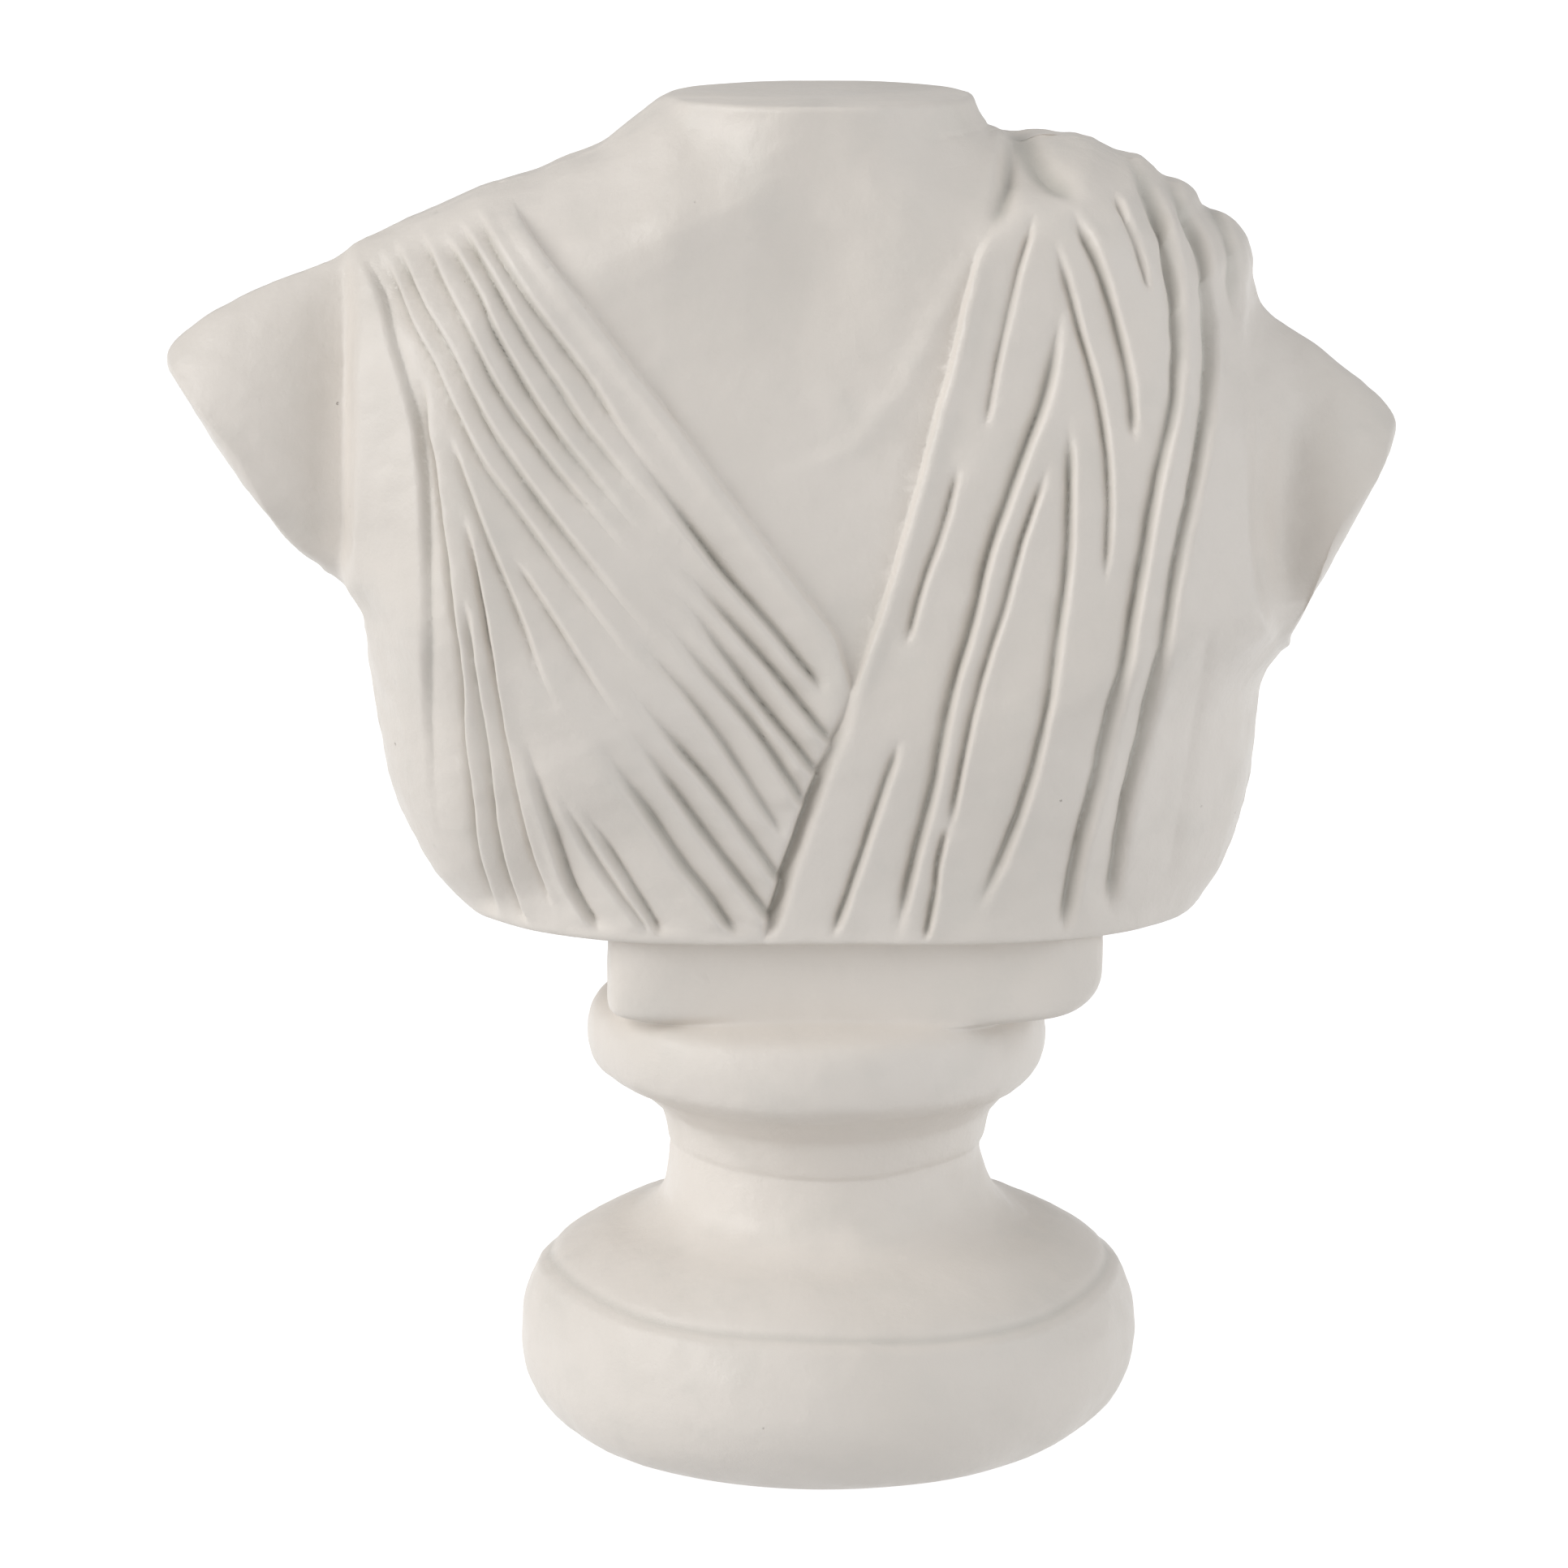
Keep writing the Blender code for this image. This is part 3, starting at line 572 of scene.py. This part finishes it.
def bust_rows():
    """The bust's surface as rows of points, in parts, from the hem to the neck cut, and the painted shade
    of its grooves.

    Each row joins a point of the left outline to one of the right outline, round the front and the back.
    Its depth is the plain thickness times a quarter round from the edges inward. The relief is added along
    the normals of that plain form.
    """
    left, right = outlines()
    left_x, left_z = (side[:, None] for side in even_points(left, BUST_ROWS))
    right_x, right_z = (side[:, None] for side in even_points(right, BUST_ROWS))
    turn = column_turns()
    even = 1 - 2 * np.where(turn < np.pi, turn, 2 * np.pi - turn) / np.pi
    share = (1 - (0.8 * np.cos(turn) + 0.2 * even)) / 2
    x = left_x + (right_x - left_x) * share
    z = left_z + (right_z - left_z) * share
    side_gap = np.minimum(x - left_x, right_x - x)
    distance = np.minimum(edge_distance(x, z), 4 * np.maximum(side_gap, 0))
    cut_gap = np.minimum(cut_distance(x, z, left, LEFT_CUT), cut_distance(x, z, right, RIGHT_CUT))
    fade = quarter_round(distance, edge_radius(z)) * quarter_round(cut_gap, CUT_ROUNDING)
    front = np.sin(turn) > 0
    softening = 8
    y = blurred(np.where(front, -front_thickness(x, z), back_thickness(x, z)) * fade, softening)
    points = np.stack([x, y, z], axis=-1)
    ways = blurred(outward(points), softening)
    ways = ways / np.maximum(np.linalg.norm(ways, axis=-1, keepdims=True), 1e-9)
    before = smooth(-y, -12, 4)
    fore, fore_shade = front_relief(x, z, distance)
    aft, aft_shade = back_relief(x, z, distance)
    relief = (before * fore + (1 - before) * aft) * (0.35 + 0.65 * smooth(z, 0, 6))
    relief = roughened(relief, points, BUST_LUMPS)
    points = points + ways * relief[..., None]
    points[..., 2] = np.clip(points[..., 2], 0, PARTS)
    return points, before * fore_shade + (1 - before) * aft_shade


def soften_ends(rows):
    """Rounds the neck rim and the hem: rows draw in along a quarter circle near each end."""
    centre = rows.mean(axis=1, keepdims=True)
    centre[..., 2] = 0
    for height, rounding in ((0.0, HEM_ROUNDING), (float(PARTS), NECK_RIM)):
        gap = np.abs(rows[..., 2:] - height)
        inset = rounding * (1 - quarter_round(gap, rounding))
        flat = rows[..., :2] - centre[..., :2]
        reach = np.linalg.norm(flat, axis=-1, keepdims=True)
        rows[..., :2] -= flat / np.maximum(reach, 1e-9) * inset
    return rows


def turned_profile():
    """The plinth's turned profile, foot to disc: radius, height and sideways offset."""
    drop = BASE_TOP_HEIGHT - BASE_EDGE_HEIGHT
    flare = BASE_RADIUS - WAIST_RADIUS
    under = DISC_RADIUS - WAIST_RADIUS
    neck = DISC_MIDDLE - WAIST_HEIGHT
    lower = np.linspace(-np.pi / 2, 0, 4 * PROFILE_STEPS)
    edge = [
        (FOOT_RADIUS + (BASE_RADIUS - FOOT_RADIUS) * np.cos(t),
         BASE_EDGE_HEIGHT * (1 + np.sin(t)), -FOOT_OFFSET / DISC_OFFSET * np.sin(t)) for t in lower
    ]
    bell = [
        (BASE_RADIUS - 0.010 * flare, BASE_EDGE_HEIGHT + 0.20 * drop, 0),
        (BASE_RADIUS - 0.035 * flare, BASE_EDGE_HEIGHT + 0.34 * drop, 0),
        (BASE_RADIUS - 0.10 * flare, BASE_EDGE_HEIGHT + 0.56 * drop, 0),
        (BASE_RADIUS - 0.24 * flare, BASE_EDGE_HEIGHT + 0.79 * drop, 0),
        (BASE_RADIUS - 0.48 * flare, BASE_TOP_HEIGHT, 0),
        (WAIST_RADIUS + 0.25 * flare, BASE_TOP_HEIGHT + 0.20 * (WAIST_HEIGHT - BASE_TOP_HEIGHT), 0),
        (WAIST_RADIUS + 0.08 * flare, BASE_TOP_HEIGHT + 0.50 * (WAIST_HEIGHT - BASE_TOP_HEIGHT), 0),
    ]
    disc = [
        (WAIST_RADIUS, WAIST_HEIGHT, 0.3),
        (WAIST_RADIUS + 0.02 * under, WAIST_HEIGHT + 0.15 * neck, 0.25),
        (WAIST_RADIUS + 0.12 * under, WAIST_HEIGHT + 0.38 * neck, 0.2),
        (WAIST_RADIUS + 0.27 * under, WAIST_HEIGHT + 0.49 * neck, 0.25),
        (WAIST_RADIUS + 0.49 * under, WAIST_HEIGHT + 0.60 * neck, 0.35),
        (WAIST_RADIUS + 0.75 * under, WAIST_HEIGHT + 0.69 * neck, 0.6),
        (WAIST_RADIUS + 0.94 * under, WAIST_HEIGHT + 0.81 * neck, 0.9),
        (DISC_RADIUS, DISC_MIDDLE, 1),
        (DISC_RADIUS - 0.06 * under, DISC_MIDDLE + 0.56 * (DISC_TOP - DISC_MIDDLE), 1),
        (DISC_RADIUS - 0.18 * under, DISC_MIDDLE + 0.86 * (DISC_TOP - DISC_MIDDLE), 1),
        (DISC_RADIUS - 0.38 * under, DISC_TOP - 0.0015, 1),
    ]
    return np.vstack([edge, curve_through(bell + disc, PROFILE_STEPS)[1:]])


def tablet_ring(turn, rise):
    """An oblong ring: an oval of a high power, rounded in below, and more so at its worn right end."""
    inset = TABLET_ROUNDING * (1 - quarter_round(rise, TABLET_ROUNDING))
    worn = TABLET_WORN_END * (1 - quarter_round(rise, TABLET_WORN_END))
    half_depth = TABLET_DEPTH / 2 - inset
    half_width = TABLET_WIDTH / 2 - np.where(np.cos(turn) < 0, worn, inset)
    across = np.abs(np.cos(turn) / half_width) ** TABLET_SQUARENESS
    deep = np.abs(np.sin(turn) / half_depth) ** TABLET_SQUARENESS
    reach = (across + deep) ** (-1 / TABLET_SQUARENESS)
    x = TABLET_OFFSET - reach * np.cos(turn)
    return np.stack([x, -reach * np.sin(turn), np.full_like(turn, DISC_TOP + rise)], axis=-1)


def filleted(rings, level, reach):
    """The rings with the joint at one level smoothed out.

    Each ring is drawn towards its neighbours many times over, and the result is blended in as exp of minus
    the squared height from the level over the reach.
    """
    soft = rings.copy()
    for _ in range(8 * PROFILE_STEPS):
        soft[1:-1] = 0.5 * soft[1:-1] + 0.25 * (soft[:-2] + soft[2:])
    near = np.exp(-(((rings[..., 2:] - level) / reach) ** 2))
    return rings + (soft - rings) * near


def plinth_rows():
    """Rings of the plinth, in metres: turned rings, then the rounded oblong tablet, all a little uneven,
    with painted shade along the scored line round the base.
    """
    turn = column_turns()
    rings = []
    for radius, height, shift in turned_profile():
        x = DISC_OFFSET * shift - radius * np.cos(turn)
        rings.append(np.stack([x, -radius * np.sin(turn), np.full_like(turn, height)], axis=-1))
    low_ring = tablet_ring(turn, 0)
    for share in (0.5, 0.85):
        rings.append(rings[-1] * (1 - share) + low_ring * share)
    for rise in (1 - np.cos(np.linspace(0, np.pi, 7 * PROFILE_STEPS))) / 2 * (TABLET_TOP - DISC_TOP):
        rings.append(tablet_ring(turn, rise))
    rings = filleted(np.array(rings), DISC_TOP, JOINT_FILLET)
    height = rings[..., 2]
    base_line = BASE_TOP_HEIGHT - BASE_LINE_BELOW + 0.0012 * np.sin(turn * 2 + 0.6)
    base_line = base_line + 0.0006 * np.sin(turn * 5)
    off = (height - base_line) / BASE_LINE_WIDTH
    relief = -BASE_LINE_DEPTH * np.exp(-(off**2)) + BASE_LINE_LIP * np.exp(-((off + 2.0) ** 2))
    waist_line = WAIST_HEIGHT + WAIST_LINE_ABOVE + 0.0008 * np.sin(turn * 3)
    relief = relief - WAIST_LINE_DEPTH * np.exp(-(((height - waist_line) / WAIST_LINE_WIDTH) ** 2))
    uneven = roughened(0, rings * PARTS / BUST_HEIGHT, PLINTH_LUMPS)
    relief = relief + uneven * BUST_HEIGHT / PARTS
    joints = np.abs(height - DISC_TOP) / 0.003
    relief = relief * smooth(height, 0, 0.006) * (1 - smooth(height, TABLET_TOP - 0.002, TABLET_TOP))
    relief = relief * (1 - 0.8 * np.exp(-(joints**2)))
    rings = rings + outward(rings) * relief[..., None]
    # Painted shade: the scored line round the base is darkened along its groove
    return rings, 0.6 * np.exp(-(off**2))


def ring_faces(count, columns):
    """Corner numbers of the quads between rings, and of the two fans that close the ends."""
    i, j = np.meshgrid(np.arange(count - 1), np.arange(columns), indexing="ij")
    k = (j + 1) % columns
    low, high = i * columns, (i + 1) * columns
    quads = np.stack([low + j, low + k, high + k, high + j], axis=-1)
    j = np.arange(columns)
    k = (j + 1) % columns
    foot = np.stack([np.full(columns, count * columns), k, j], axis=-1)
    top = (count - 1) * columns
    crown = np.stack([np.full(columns, count * columns + 1), top + j, top + k], axis=-1)
    return quads.reshape(-1, 4), np.vstack([foot, crown])


def closed_mesh(rows, groove_shades, name):
    """A mesh of rings joined by quads and closed at both ends, with each point's share of painted groove
    shade.
    """
    count, columns, _ = rows.shape
    points = np.vstack([rows.reshape(-1, 3), rows[0].mean(axis=0), rows[-1].mean(axis=0)])
    quads, fans = ring_faces(count, columns)
    corners = np.concatenate([quads.ravel(), fans.ravel()])
    sizes = np.concatenate([np.full(len(quads), 4), np.full(len(fans), 3)])
    mesh = bpy.data.meshes.new(name)
    mesh.vertices.add(len(points))
    mesh.vertices.foreach_set("co", points.ravel())
    mesh.loops.add(len(corners))
    mesh.loops.foreach_set("vertex_index", corners)
    mesh.polygons.add(len(sizes))
    mesh.polygons.foreach_set("loop_start", np.concatenate([[0], np.cumsum(sizes)[:-1]]))
    mesh.update(calc_edges=True)
    groove_shade = mesh.attributes.new("groove_shade", "FLOAT", "POINT")
    groove_shade.data.foreach_set("value", np.concatenate([groove_shades.ravel(), [0, 0]]))
    return mesh


def thin_out(piece, faces_kept):
    """Joins the faces of the plainest stretches until faces_kept are left."""
    faces = sum(len(face.vertices) - 2 for face in piece.data.polygons)
    modifier = piece.modifiers.new("thin", "DECIMATE")
    modifier.ratio = faces_kept / faces
    graph = bpy.context.evaluated_depsgraph_get()
    thinned = bpy.data.meshes.new_from_object(piece.evaluated_get(graph))
    piece.modifiers.clear()
    piece.data = thinned


def fit_box(mesh):
    """Sets both ends flat, and draws each side in by its own share where it passes the solids' box."""
    count = len(mesh.vertices)
    points = np.empty(3 * count)
    mesh.vertices.foreach_get("co", points)
    points = points.reshape(count, 3)
    top = TABLET_TOP + BUST_HEIGHT
    snap = 0.0003
    points[points[:, 2] < snap, 2] = 0.0
    points[points[:, 2] > top - snap, 2] = top
    low, high = (np.array(corner) for corner in cad_box)
    for axis in (0, 1):
        place = points[:, axis]
        share = np.where(place < 0, low[axis] / place.min(), high[axis] / place.max())
        points[:, axis] = place * np.minimum(share, 1)
    mesh.vertices.foreach_set("co", points.ravel())
    mesh.update()


def painted_paper():
    """Off-white satin paint on papier-mache: mottled, with painted shade in the grooves, pinholes, specks
    and a tooth.
    """
    material = bpy.data.materials.new("painted_paper")
    material.use_nodes = True
    nodes, links = material.node_tree.nodes, material.node_tree.links
    shader = nodes["Principled BSDF"]
    place = nodes.new("ShaderNodeTexCoord").outputs["Object"]

    def noise(scale, detail, roughness=0.5):
        node = nodes.new("ShaderNodeTexNoise")
        node.inputs["Scale"].default_value = scale
        node.inputs["Detail"].default_value = detail
        node.inputs["Roughness"].default_value = roughness
        links.new(place, node.inputs["Vector"])
        return node.outputs["Fac"]

    def between(value, low, high, start=0.0, end=1.0):
        node = nodes.new("ShaderNodeMapRange")
        node.interpolation_type = "SMOOTHSTEP"
        node.inputs["From Min"].default_value = low
        node.inputs["From Max"].default_value = high
        node.inputs["To Min"].default_value = start
        node.inputs["To Max"].default_value = end
        links.new(value, node.inputs["Value"])
        return node.outputs["Result"]

    def times(first, second):
        node = nodes.new("ShaderNodeMath")
        node.operation = "MULTIPLY"
        for socket, value in zip(node.inputs, (first, second)):
            if isinstance(value, float):
                socket.default_value = value
            else:
                links.new(value, socket)
        return node.outputs[0]

    def tint(share, under, over):
        node = nodes.new("ShaderNodeMix")
        node.data_type = "RGBA"
        links.new(share, node.inputs["Factor"])
        for socket, colour in ((node.inputs[6], under), (node.inputs[7], over)):
            if isinstance(colour, tuple):
                socket.default_value = colour + (1.0,)
            else:
                links.new(colour, socket)
        return node.outputs[2]

    def pocks(scale, size):
        node = nodes.new("ShaderNodeTexVoronoi")
        node.inputs["Scale"].default_value = scale
        links.new(place, node.inputs["Vector"])
        hole = between(node.outputs["Distance"], size, 0.3 * size)
        split = nodes.new("ShaderNodeSeparateColor")
        links.new(node.outputs["Color"], split.inputs["Color"])
        return times(hole, between(split.outputs["Red"], 0.990, 0.996))

    # Painted shade: each point's groove share darkens the paint towards the grey groove shade tone
    groove_shade = nodes.new("ShaderNodeAttribute")
    groove_shade.attribute_name = "groove_shade"
    hollow = between(groove_shade.outputs["Fac"], 0.15, 1.0, 0.0, 0.55)
    colour = tint(between(noise(14, 3), 0.38, 0.66), PAINT_WARM, PAINT_DULL)
    colour = tint(between(noise(55, 4), 0.50, 0.74, 0.0, 0.5), colour, PAINT_STAIN)
    colour = tint(hollow, colour, GROOVE_SHADE_TONE)
    pits = pocks(260, 0.13)
    colour = tint(times(pits, 0.35), colour, PINHOLE_TONE)
    specks = times(between(noise(900, 1), 0.87, 0.90), 0.6)
    colour = tint(specks, colour, SPECK_TONE)
    links.new(colour, shader.inputs["Base Color"])
    links.new(between(noise(70, 3), 0.3, 0.7, 0.38, 0.52), shader.inputs["Roughness"])
    shader.inputs["Metallic"].default_value = 0.0

    normal = None
    for height, reach in (
        (noise(90, 3), 0.0006), (noise(420, 4, 0.6), 0.00016), (noise(1500, 2), 0.00005), (pits, -0.0004),
    ):
        bump = nodes.new("ShaderNodeBump")
        bump.inputs["Strength"].default_value = 1.0
        bump.inputs["Distance"].default_value = abs(reach)
        bump.invert = reach < 0
        links.new(height, bump.inputs["Height"])
        if normal is not None:
            links.new(normal, bump.inputs["Normal"])
        normal = bump.outputs["Normal"]
    links.new(normal, shader.inputs["Normal"])
    return material


def kept_under(rings, hem):
    """The plinth's rings, with any corner of the tablet that would stick out past the hem drawn in."""
    turns = np.arctan2(hem[:, 1], hem[:, 0])
    reach = HEM_COVER * np.hypot(hem[:, 0], hem[:, 1])
    limit = np.interp(np.arctan2(rings[..., 1], rings[..., 0]), turns, reach, period=2 * np.pi)
    out = np.hypot(rings[..., 0], rings[..., 1])
    hair = 0.0001
    share = np.where(rings[..., 2] > DISC_TOP - hair, np.minimum(limit / out, 1), 1)
    return rings * np.stack([share, share, np.ones_like(share)], axis=-1)


def build_bust():
    """The whole piece: plinth rings, then the bust's rows, as one closed skin."""
    rings, ring_shade = plinth_rows()
    rows, groove_shades = bust_rows()
    rows = soften_ends(rows) * (BUST_HEIGHT / PARTS)
    rows[..., 2] += TABLET_TOP
    rings = kept_under(rings, rows[0])
    skin_shade = np.concatenate([ring_shade, groove_shades])
    mesh = closed_mesh(np.concatenate([rings, rows]), skin_shade, "draped_bust")
    piece = bpy.data.objects.new("draped_bust", mesh)
    bpy.context.scene.collection.objects.link(piece)
    thin_out(piece, TRIANGLES)
    fit_box(piece.data)
    piece.data.materials.clear()
    piece.data.materials.append(painted_paper())
    piece.data.shade_smooth()
    piece.data.set_sharp_from_angle(angle=np.radians(60))
    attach(piece, "root")
    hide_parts("bust")


def build_floor():
    """A plain white floor that runs past the picture on every side."""
    half = 15.0
    mesh = bpy.data.meshes.new("floor")
    corners = [(-half, -half, 0), (half, -half, 0), (half, half, 0), (-half, half, 0)]
    mesh.from_pydata(corners, [], [(0, 1, 2, 3)])
    floor = bpy.data.objects.new("floor", mesh)
    bpy.context.scene.collection.objects.link(floor)
    material = bpy.data.materials.new("white_floor")
    material.use_nodes = True
    shader = material.node_tree.nodes["Principled BSDF"]
    shader.inputs["Base Color"].default_value = (0.45, 0.45, 0.45, 1)
    shader.inputs["Roughness"].default_value = 0.8
    shader.inputs["Emission Color"].default_value = (1, 1, 1, 1)
    shader.inputs["Emission Strength"].default_value = 0.85
    mesh.materials.append(material)
    floor.visible_diffuse = False


def add_sun(name, place, spread, strength, colour):
    """A wide soft light from one direction, which falls evenly on the floor."""
    data = bpy.data.lights.new(name, "SUN")
    data.angle = np.radians(spread)
    data.energy = strength
    data.color = colour
    light = bpy.data.objects.new(name, data)
    flat = np.hypot(place[0], place[1])
    lean = np.pi / 2 - np.arctan2(place[2], flat)
    light.rotation_euler = (lean, 0, np.arctan2(place[1], place[0]) + np.pi / 2)
    light.location = place
    bpy.context.scene.collection.objects.link(light)


def light_studio():
    """Soft daylight from the left and a weaker one from the right, in a surround that is paler below."""
    add_sun("main_light", place=(-1.75, -0.65, 0.9), spread=48, strength=1.66, colour=(1.0, 0.985, 0.965))
    add_sun("side_light", place=(1.8, -0.70, 0.62), spread=60, strength=0.92, colour=(0.97, 0.985, 1.0))
    world = bpy.data.worlds.new("surround")
    world.use_nodes = True
    nodes, links = world.node_tree.nodes, world.node_tree.links
    place = nodes.new("ShaderNodeTexCoord")
    split = nodes.new("ShaderNodeSeparateXYZ")
    links.new(place.outputs["Generated"], split.inputs["Vector"])
    height = nodes.new("ShaderNodeMapRange")
    height.inputs["From Min"].default_value = -0.4
    height.inputs["From Max"].default_value = 0.4
    height.inputs["To Min"].default_value = 0.55
    height.inputs["To Max"].default_value = 0.42
    links.new(split.outputs["Z"], height.inputs["Value"])
    background = nodes["Background"]
    background.inputs["Color"].default_value = (1, 1, 1, 1)
    links.new(height.outputs["Result"], background.inputs["Strength"])
    scene = bpy.context.scene
    scene.world = world
    scene.view_settings.view_transform = "Standard"


def place_camera():
    """A long lens in front of the bust, pitched down twelve degrees."""
    image_width = 1932
    focal_pixels = 6900
    aim = (-0.01349, 0.0, 0.19574)
    reach = 1.66241
    pitch = np.radians(12)
    data = bpy.data.cameras.new("camera")
    data.sensor_width = 36
    data.lens = focal_pixels / image_width * data.sensor_width
    camera = bpy.data.objects.new("camera", data)
    camera.location = (aim[0], aim[1] - reach * np.cos(pitch), aim[2] + reach * np.sin(pitch))
    camera.rotation_euler = (np.pi / 2 - pitch, 0, 0)
    bpy.context.scene.collection.objects.link(camera)
    bpy.context.scene.camera = camera


place_camera()
build_bust()
build_floor()
light_studio()
